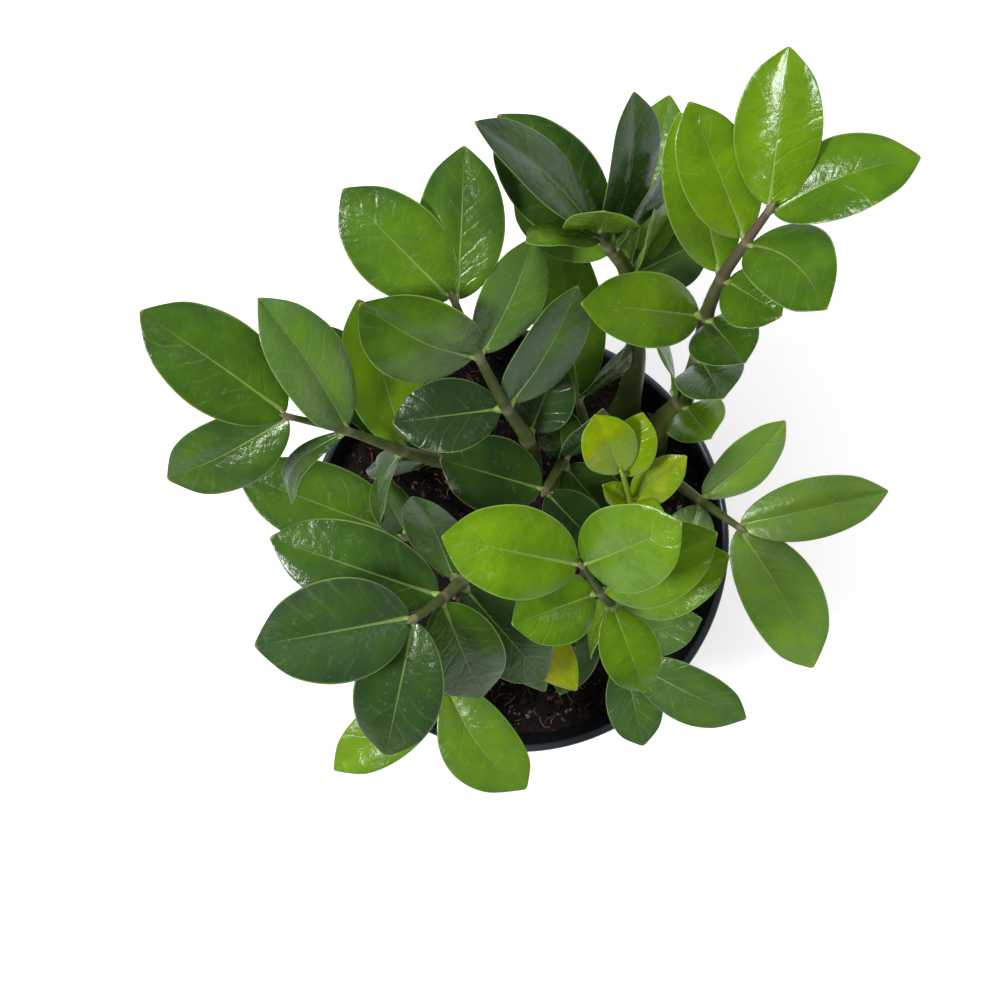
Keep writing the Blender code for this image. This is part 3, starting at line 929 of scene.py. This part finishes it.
def thicken(piece, shares, acrosses, thickness):
    """Gives a blade its thickness below: thick under the midrib and thin at the margin."""
    group = piece.vertex_groups.new(name="thickness")
    for index, (share, across) in enumerate(zip(shares, acrosses)):
        rib = RIB_EXTRA * math.exp(-((across / RIB_SPREAD) ** 2)) * (1 - share) ** 0.6
        margin = MARGIN_THINNING * abs(across) ** 4
        group.add([index], min(1.0, BLADE_BODY + rib - margin), "REPLACE")
    wall = piece.modifiers.new("thickness", "SOLIDIFY")
    wall.thickness = thickness
    wall.offset = -1.0
    wall.vertex_group = group.name
    wall.material_offset = 1
    wall.material_offset_rim = 2
    fine = piece.modifiers.new("fine", "SUBSURF")
    fine.levels = 1
    fine.render_levels = 1


def ring_swell(spec, place):
    """How much of a leaf joint's ring there is at a place on the stem, from 0 to 1."""
    stations = {leaf["station"] for leaf in (*spec["leaflets"], *spec["joined"])}
    return max(math.exp(-(((place - station) / RING_LENGTH) ** 2)) for station in stations)


def set_ring(face, centre, along, radius):
    """Moves a face's corners onto a circle square to the stem, without twisting it."""
    across = Vector((1, 0, 0))
    side = (across - along * across.dot(along)).normalized()
    other = along.cross(side)
    for index, vert in enumerate(face.verts):
        angle = math.tau * index / len(face.verts)
        wobble = 1 + STEM_WOBBLE * noise.noise(centre * 160 + Vector((angle, 0, 0)))
        vert.co = centre + (side * math.cos(angle) + other * math.sin(angle)) * radius * wobble


def grow_tube(bm, sides, stations, marks, mark):
    """Extrudes a closed round tube through (centre, direction, radius) stations."""
    ring = bmesh.ops.create_circle(bm, cap_ends=True, segments=sides, radius=1.0)["verts"]
    face = ring[0].link_faces[0]
    for step, (centre, along, radius, extra) in enumerate(stations):
        if step:
            face = bmesh.ops.extrude_discrete_faces(bm, faces=[face])["faces"][0]
        set_ring(face, centre, along, radius)
        for vert in face.verts:
            marks[vert] = {**mark, **extra}


def stem_stations(spec, points):
    """Where the stem's rings go, with its leaf joints' rings and a bud at its end."""
    last = len(points) - 1
    stations = []
    for step in range(last * STEM_STEPS + 1):
        place = step / STEM_STEPS
        ring = ring_swell(spec, place)
        radius = stem_radius(spec, place) * (1 + RING_HEIGHT * ring)
        along = Vector((0, 0, 1)) if step == 0 else tangent_at(points, place)
        extra = {"share": place / last, "ring": ring}
        stations.append((smooth_point(points, place), along, radius, extra))
    centre, along, radius, extra = stations[-1]
    for rise, size in BUD_STEPS:
        stations.append((centre + along * radius * rise, along, radius * size, extra))
    return stations


def stalk_stations(spec, points, leaf):
    """The short swollen stalk of a leaflet, from inside its stem to the foot of its midrib."""
    base, along, _, upper, length = leaf_frame(spec, leaf)
    node = smooth_point(points, leaf["station"])
    out = (base - node).normalized()
    radius = min(stem_radius(spec, leaf["station"]) * 0.8, STALK_RADIUS * UNIT)
    end = base + along * 0.07 * length - upper * 0.0006
    extra = {"share": leaf["station"] / (len(points) - 1)}
    return [
        (node + out * 0.0002, out, radius, extra),
        (base - out * 0.0004, (out + along).normalized(), radius, extra),
        (base + along * 0.0016 - upper * 0.0003, along, radius * 0.85, extra),
        (end, along, radius * 0.3, extra),
    ]


def make_stem(spec, plant, material):
    """A stem with its joints' rings, its end bud and the stalks of all its leaflets."""
    points = [above_soil(point) for point in spec["path"]]
    bm = bmesh.new()
    marks = {}
    plain = {"share": 0.0, "ring": 0.0, "stalk": 0.0}
    grow_tube(bm, plant.stem_sides, stem_stations(spec, points), marks, plain)
    for leaf in (*spec["leaflets"], *spec["joined"]):
        stalk = {**plain, "stalk": 1.0}
        grow_tube(bm, STALK_SIDES, stalk_stations(spec, points, leaf), marks, stalk)
    bmesh.ops.holes_fill(bm, edges=bm.edges, sides=plant.stem_sides)
    bmesh.ops.recalc_face_normals(bm, faces=bm.faces)
    bm.verts.index_update()
    ordered = [marks[vert] for vert in bm.verts]
    slot = "young_leaf" if spec["age"] < NEW_GROWTH_AGE else "stem"
    name = f"stalk_{spec['name']}"
    piece = piece_from(bm, name, [material], [f"stem_{spec['name']}"])
    for layer in plain:
        number_layer(piece.data, layer, [mark[layer] for mark in ordered])
    number_layer(piece.data, "age", [spec["age"]] * len(ordered))
    number_layer(piece.data, "brown", [spec["brown"]] * len(ordered))
    return piece


def soil_height(x, y, lumps):
    """Height of the rough soil: broad humps, clods and crumbs, low at the wall."""
    here = Vector((x, y, 0.0))
    humps = noise.noise(here * 38)
    clods = noise.noise(here * 120 + Vector((5, 3, 1)))
    crumbs = noise.noise(here * 380 + Vector((1, 7, 2)))
    fine = noise.noise(here * 900)
    share = math.hypot(x, y) / SOIL_RADIUS
    wall = -WALL_DIP * max(0.0, share - WALL_DIP_START) / (1 - WALL_DIP_START)
    rough = humps * 0.9 + clods * 0.55 + abs(crumbs) * 0.4 + fine * 0.12
    return SOIL_LEVEL + lumps * rough + mound(x, y) + wall


def mound(x, y):
    """Soil drawn up round each stem's foot."""
    height = 0.0
    for spec in FRONDS:
        foot = above_soil(spec["path"][0])
        away = math.hypot(x - foot.x, y - foot.y) - spec["foot_radius"] * UNIT
        height = max(height, MOUND_HEIGHT * math.exp(-((max(away, 0) / MOUND_REACH) ** 2)))
    return height


def make_soil(soil, material):
    """The filling of soil: a rough top, drawn down the pot's inside to a flat bottom."""
    bm = bmesh.new()
    bmesh.ops.create_grid(bm, x_segments=soil.cells, y_segments=soil.cells, size=1.0)
    radius = SOIL_RADIUS
    for vert in bm.verts:
        x, y = vert.co.x, vert.co.y
        x, y = x * math.sqrt(1 - y * y / 2) * radius, y * math.sqrt(1 - x * x / 2) * radius
        vert.co = (x, y, soil_height(x, y, soil.lumps))
    edges = [edge for edge in bm.edges if edge.is_boundary]
    for height, share in BED_STEPS:
        sides = bmesh.ops.extrude_edge_only(bm, edges=edges)["geom"]
        edges = [part for part in sides if isinstance(part, bmesh.types.BMEdge)]
        edges = [edge for edge in edges if edge.is_boundary]
        for vert in {vert for edge in edges for vert in edge.verts}:
            flat = Vector((vert.co.x, vert.co.y, 0)).normalized() * radius * share
            vert.co = (flat.x, flat.y, height)
    bmesh.ops.contextual_create(bm, geom=edges)
    bmesh.ops.recalc_face_normals(bm, faces=bm.faces)
    return piece_from(bm, "soil_bed", [material], ["soil"])


def spot_on_soil(rng, soil):
    """A place on the soil's top, evenly spread, a little in from the pot's wall."""
    radius = SOIL_RADIUS * 0.97 * math.sqrt(rng.random())
    angle = rng.uniform(0, math.tau)
    x, y = radius * math.cos(angle), radius * math.sin(angle)
    return Vector((x, y, soil_height(x, y, soil.lumps)))


def scatter_lumps(name, count, sizes, flatness, seed, soil, material):
    """Loose lumps lying on the soil, each an uneven little stone-like body."""
    rng = random.Random(seed)
    bm = bmesh.new()
    tones = []
    for _ in range(count):
        size = rng.uniform(*sizes) * rng.uniform(0.6, 1.0)
        stretch = (1.0, rng.uniform(0.35, 0.9), rng.uniform(flatness, flatness * 2))
        place = Matrix.Translation(spot_on_soil(rng, soil) + Vector((0, 0, size * 0.15)))
        tilt = Matrix.Rotation(rng.uniform(-0.5, 0.5), 4, "X")
        heading = Matrix.Rotation(rng.uniform(0, math.tau), 4, "Z")
        scale = Matrix.Diagonal((*(size * part for part in stretch), 1))
        made = bmesh.ops.create_icosphere(bm, subdivisions=1, radius=0.5)["verts"]
        for vert in made:
            vert.co *= rng.uniform(0.7, 1.15)
        bmesh.ops.transform(bm, matrix=place @ heading @ tilt @ scale, verts=made)
        tones += [rng.random()] * len(made)
    bmesh.ops.recalc_face_normals(bm, faces=bm.faces)
    piece = piece_from(bm, name, [material])
    number_layer(piece.data, "tone", tones)
    for polygon in piece.data.polygons:
        polygon.use_smooth = False
    return piece


def scatter_fibres(soil, material):
    """Strands of coir: thin, curved, three-sided and lying across the soil, a few of them raised."""
    rng = random.Random(41)
    bm = bmesh.new()
    marks = {}
    for _ in range(soil.fibres):
        start = spot_on_soil(rng, soil)
        heading = rng.uniform(0, math.tau)
        turn = rng.gauss(0, 0.5)
        step = rng.uniform(*FIBRE_STEPS)
        thickness = rng.uniform(*FIBRE_THICKNESSES)
        raised = rng.uniform(0.0, RAISED_HEIGHT) if rng.random() < RAISED_SHARE else 0.0
        tone = rng.random()
        stations = []
        centre = start
        for ring in range(FIBRE_RINGS):
            along = Vector((math.cos(heading), math.sin(heading), 0))
            stations.append((centre.copy(), along, thickness * (1 - 0.12 * ring), {"tone": tone}))
            centre = centre + along * step
            heading += turn + rng.gauss(0, 0.15)
            inside = min(1.0, SOIL_RADIUS * 0.975 / max(centre.xy.length, 1e-6))
            centre = Vector((centre.x * inside, centre.y * inside, 0))
            lift = raised * math.sin(math.pi * ring / FIBRE_RINGS) + thickness
            centre.z = soil_height(centre.x, centre.y, soil.lumps) + lift
        grow_tube(bm, 3, stations, marks, {})
    bmesh.ops.holes_fill(bm, edges=bm.edges, sides=3)
    bmesh.ops.recalc_face_normals(bm, faces=bm.faces)
    bm.verts.index_update()
    ordered = [marks[vert]["tone"] for vert in bm.verts]
    piece = piece_from(bm, "coir_fibres", [material])
    number_layer(piece.data, "tone", ordered)
    return piece


def arc(centre_radius, centre_height, radius, start, end, steps):
    """Points on an arc in the pot's profile, with angles in degrees from straight outwards."""
    points = []
    for step in range(steps + 1):
        angle = math.radians(start + (end - start) * step / steps)
        points.append(
            (centre_radius + radius * math.cos(angle), centre_height + radius * math.sin(angle))
        )
    return points


def wall_radius(height):
    """Outer radius of the pot's tapered wall, under its band."""
    top = RIM_RADIUS - BAND_STEP
    return BASE_RADIUS + (top - BASE_RADIUS) * height / POT_HEIGHT


def pot_profile(pot):
    """The pot's outline from the middle of its base, out, up, over the lip and back inside."""
    lip = pot.lip / 2
    band_foot = POT_HEIGHT - pot.band
    foot_out = BASE_RADIUS - 0.0012
    lip_foot = POT_HEIGHT - pot.lip * 1.05
    mid_wall = [
        (wall_radius(height) + ridge, height)
        for height, ridge in rib_steps(0.012, band_foot - 0.004)
    ]
    floor_top = RECESS + FLOOR
    return [
        (0, 0),
        (PAD_RADIUS - 0.001, 0),
        *arc(PAD_RADIUS - 0.001, 0.001, 0.001, -90, -20, 3),
        (PAD_RADIUS + RECESS, RECESS),
        (BASE_RADIUS - FOOT_WIDTH - RECESS, RECESS),
        (BASE_RADIUS - FOOT_WIDTH + 0.0004, 0.0002),
        (BASE_RADIUS - FOOT_WIDTH + 0.0008, 0),
        *arc(foot_out - 0.0006, 0.0018, 0.0018, -90, -10, 5),
        *mid_wall,
        (wall_radius(band_foot - 0.002), band_foot - 0.002),
        (wall_radius(band_foot) + 0.0003, band_foot - 0.0004),
        (wall_radius(band_foot) + BAND_STEP - 0.0004, band_foot + 0.0007),
        (wall_radius(band_foot) + BAND_STEP, band_foot + 0.0016),
        (RIM_RADIUS - 0.0011, POT_HEIGHT - 0.0062),
        (RIM_RADIUS - 0.0012, lip_foot - 0.0012),
        (RIM_RADIUS - 0.0004, lip_foot - 0.0004),
        *arc(RIM_RADIUS - lip, POT_HEIGHT - lip, lip, -25, 205, 14),
        (RIM_RADIUS - pot.lip - 0.0001, POT_HEIGHT - pot.lip * 1.1),
        (RIM_RADIUS - BAND_STEP - pot.wall - 0.0002, POT_HEIGHT - pot.lip * 1.6),
        (wall_radius(SOIL_LEVEL) - pot.wall, SOIL_LEVEL),
        (wall_radius(floor_top + 0.002) - pot.wall, floor_top + 0.002),
        (wall_radius(floor_top) - pot.wall - 0.0015, floor_top),
        (0, floor_top),
    ]


def rib_steps(low, high):
    """Heights up the wall, with a fine raised moulding ring at a third and two thirds."""
    steps = []
    for ring in (1, 2):
        middle = low + (high - low) * ring / 3
        for offset, ridge in RING_STEPS:
            steps.append((middle + offset, ridge))
    return [(low, 0), (low + 0.001, 0), *steps, (high, 0)]


def make_pot(pot, material):
    """The nursery pot, turned from its profile and pierced by its drain holes."""
    bm = bmesh.new()
    points = [bm.verts.new((radius, 0, height)) for radius, height in pot_profile(pot)]
    edges = [bm.edges.new(pair) for pair in zip(points, points[1:])]
    bmesh.ops.spin(
        bm,
        geom=points + edges,
        axis=(0, 0, 1),
        cent=(0, 0, 0),
        angle=math.tau,
        steps=pot.segments,
        use_merge=True,
    )
    bmesh.ops.remove_doubles(bm, verts=bm.verts, dist=1e-6)
    bmesh.ops.recalc_face_normals(bm, faces=bm.faces)
    piece = piece_from(bm, "nursery_pot", [material], ["pot"])
    pierce(piece, drain_cutters())
    piece.data.shade_smooth()
    piece.data.set_sharp_from_angle(angle=math.radians(40))
    return piece


def drain_cutters():
    """A helper with one post for each drain hole."""
    ring = (PAD_RADIUS + BASE_RADIUS - FOOT_WIDTH) / 2
    bm = bmesh.new()
    for hole in range(DRAIN_HOLES):
        turn = Matrix.Rotation(math.tau * hole / DRAIN_HOLES, 4, "Z")
        bmesh.ops.create_cone(
            bm,
            cap_ends=True,
            segments=32,
            radius1=DRAIN_RADIUS,
            radius2=DRAIN_RADIUS,
            depth=FLOOR * 4,
            matrix=turn @ Matrix.Translation((ring, 0, RECESS + FLOOR / 2)),
        )
    mesh = bpy.data.meshes.new("drain_cutters")
    bm.to_mesh(mesh)
    bm.free()
    cutter = bpy.data.objects.new("drain_cutters", mesh)
    bpy.context.scene.collection.objects.link(cutter)
    return cutter


def pierce(piece, cutter):
    """Cuts the helper out of a piece for good, and removes the helper."""
    modifier = piece.modifiers.new("drains", "BOOLEAN")
    modifier.operation = "DIFFERENCE"
    modifier.object = cutter
    graph = bpy.context.evaluated_depsgraph_get()
    cut = bpy.data.meshes.new_from_object(piece.evaluated_get(graph))
    piece.modifiers.clear()
    piece.data = cut
    bpy.data.objects.remove(cutter)


def make_floor(stage):
    """A wide pale floor."""
    finish = Finish(
        "studio_floor", Specular_IOR_Level=0.2, Emission_Color=(1, 1, 1, 1), Emission_Strength=0.3
    )
    finish.surface((*stage.floor, 1), 0.6)
    bm = bmesh.new()
    bmesh.ops.create_grid(bm, x_segments=1, y_segments=1, size=FLOOR_SIZE)
    mesh = bpy.data.meshes.new("studio_floor")
    bm.to_mesh(mesh)
    bm.free()
    mesh.materials.append(finish.material)
    floor = bpy.data.objects.new("studio_floor", mesh)
    bpy.context.scene.collection.objects.link(floor)
    floor.visible_glossy = False


def add_softbox(name, place, size, power):
    """A square area light that faces the plant, unseen by the camera."""
    light = bpy.data.lights.new(name, "AREA")
    light.shape = "SQUARE"
    light.size = size
    light.energy = power
    lamp = bpy.data.objects.new(name, light)
    lamp.location = place
    lamp.visible_camera = False
    towards = LAMP_AIM - Vector(place)
    lamp.rotation_euler = towards.to_track_quat("-Z", "Y").to_euler()
    bpy.context.scene.collection.objects.link(lamp)


def add_fill(name, place, strength):
    """A broad, distant light that shows in no reflection."""
    light = bpy.data.lights.new(name, "SUN")
    light.energy = strength
    light.angle = FILL_ANGLE
    lamp = bpy.data.objects.new(name, light)
    lamp.visible_glossy = False
    lamp.rotation_euler = Vector(place).to_track_quat("Z", "Y").to_euler()
    bpy.context.scene.collection.objects.link(lamp)


def light_studio():
    """White walls under a dark ceiling, a bright softbox left, a faint one right, and two fills."""
    world = bpy.data.worlds.new("studio_air")
    world.use_nodes = True
    tree = world.node_tree
    air = tree.nodes["Background"]
    air.inputs["Color"].default_value = WALL_COLOUR
    where = tree.nodes.new("ShaderNodeTexCoord")
    parts = tree.nodes.new("ShaderNodeSeparateXYZ")
    tree.links.new(where.outputs["Object"], parts.inputs["Vector"])
    upward = Value(tree, parts.outputs["Z"])
    dim = upward.rise(-0.05, 0.28) * CEILING_DROP
    seen = Value(tree, tree.nodes.new("ShaderNodeLightPath").outputs["Is Camera Ray"])
    feed(tree, air.inputs["Strength"], WALL_LIGHT - dim + seen * (dim + 1 - WALL_LIGHT))
    bpy.context.scene.world = world
    add_softbox("softbox_left", (-1.1, -0.3, 1.85), 0.45, 40)
    add_softbox("softbox_right", (1.1, 1.3, 1.5), 0.5, 3)
    add_fill("fill_overhead", (0.2, 0.3, 3.0), 1.4)
    add_fill("fill_back", (0.5, 1.9, 1.5), 1.6)


def set_camera(stage):
    """The camera looks straight down, a little behind and left of the pot's axis."""
    distance = stage.camera_height - POT_HEIGHT
    lens = bpy.data.cameras.new("camera")
    lens.sensor_width = SENSOR_WIDTH
    lens.lens = SENSOR_WIDTH * distance / stage.view_width
    camera = bpy.data.objects.new("camera", lens)
    camera.location = (*CAMERA_PLACE, stage.camera_height)
    bpy.context.scene.collection.objects.link(camera)
    bpy.context.scene.camera = camera


class PLANT_OT_stage(bpy.types.Operator):
    """Sets the floor, the lights and the camera"""

    bl_idname = "plant.stage"
    bl_label = "Studio"

    def execute(self, context):
        settings = context.scene.plant_stage
        context.scene.view_settings.view_transform = "Standard"
        set_camera(settings)
        light_studio()
        make_floor(settings)
        return {"FINISHED"}


class PLANT_OT_pot(bpy.types.Operator):
    """Turns the nursery pot"""

    bl_idname = "plant.pot"
    bl_label = "Nursery pot"

    def execute(self, context):
        settings = context.scene.plant_pot
        make_pot(settings, pot_plastic(settings))
        return {"FINISHED"}


class PLANT_OT_soil(bpy.types.Operator):
    """Fills the pot with rough soil"""

    bl_idname = "plant.soil"
    bl_label = "Soil"

    def execute(self, context):
        settings = context.scene.plant_soil
        make_soil(settings, peat_earth(settings))
        return {"FINISHED"}


class PLANT_OT_litter(bpy.types.Operator):
    """Scatters crumbs, bark chips and coir fibres on the soil"""

    bl_idname = "plant.litter"
    bl_label = "Crumbs, chips and fibres"

    def execute(self, context):
        soil = context.scene.plant_soil
        crumb = grainy_brown("crumb_brown", CRUMB_TONES)
        bark = grainy_brown("bark_brown", BARK_TONES)
        scatter_lumps("peat_crumbs", soil.crumbs, CRUMB_SIZES, 0.5, 7, soil, crumb)
        scatter_lumps("bark_chips", soil.chips, CHIP_SIZES, 0.16, 19, soil, bark)
        scatter_fibres(soil, coir_red(soil))
        return {"FINISHED"}


class PLANT_OT_stems(bpy.types.Operator):
    """Grows the stems with the short stalks of their leaflets"""

    bl_idname = "plant.stems"
    bl_label = "Stems"

    def execute(self, context):
        plant = context.scene.plant_leaves
        skin = stem_skin(plant)
        for spec in FRONDS:
            make_stem(spec, plant, skin)
        return {"FINISHED"}


class PLANT_OT_leaflets(bpy.types.Operator):
    """Unfolds every leaflet"""

    bl_idname = "plant.leaflets"
    bl_label = "Leaflets"

    def execute(self, context):
        plant = context.scene.plant_leaves
        materials = [leaf_upper(plant), leaf_under(plant), leaf_margin(plant)]
        seed = 0
        for spec in FRONDS:
            for number, leaf in enumerate(spec["leaflets"], 1):
                seed += 1
                node = f"leaflet_{spec['name']}_{number}"
                blade = f"blade_{spec['name']}_{number}"
                make_blade(blade, spec, leaf, seed, plant, materials, [node])
            for number, leaf in enumerate(spec["joined"], 1):
                seed += 1
                blade = f"small_blade_{spec['name']}_{number}"
                make_blade(blade, spec, leaf, seed, plant, materials)
        return {"FINISHED"}


class PLANT_PT_panel(bpy.types.Panel):
    """Lists the plant's pieces"""

    bl_idname = "PLANT_PT_panel"
    bl_label = "Potted ZZ Plant"
    bl_space_type = "VIEW_3D"
    bl_region_type = "UI"
    bl_category = "Plant"

    def draw(self, context):
        for operator in OPERATORS:
            self.layout.operator(operator.bl_idname)


OPERATORS = (
    PLANT_OT_stage,
    PLANT_OT_pot,
    PLANT_OT_soil,
    PLANT_OT_litter,
    PLANT_OT_stems,
    PLANT_OT_leaflets,
)
SETTINGS = {
    "plant_pot": PotSettings,
    "plant_soil": SoilSettings,
    "plant_leaves": PlantSettings,
    "plant_stage": StageSettings,
}


def register():
    for kind in (*SETTINGS.values(), *OPERATORS, PLANT_PT_panel):
        bpy.utils.register_class(kind)
    for name, kind in SETTINGS.items():
        setattr(bpy.types.Scene, name, PointerProperty(type=kind))


def unregister():
    for name in SETTINGS:
        delattr(bpy.types.Scene, name)
    for kind in reversed((*SETTINGS.values(), *OPERATORS, PLANT_PT_panel)):
        bpy.utils.unregister_class(kind)


def main():
    register()
    bpy.ops.plant.stage()
    bpy.ops.plant.pot()
    bpy.ops.plant.soil()
    bpy.ops.plant.litter()
    bpy.ops.plant.stems()
    bpy.ops.plant.leaflets()


if __name__ == "__main__":
    main()
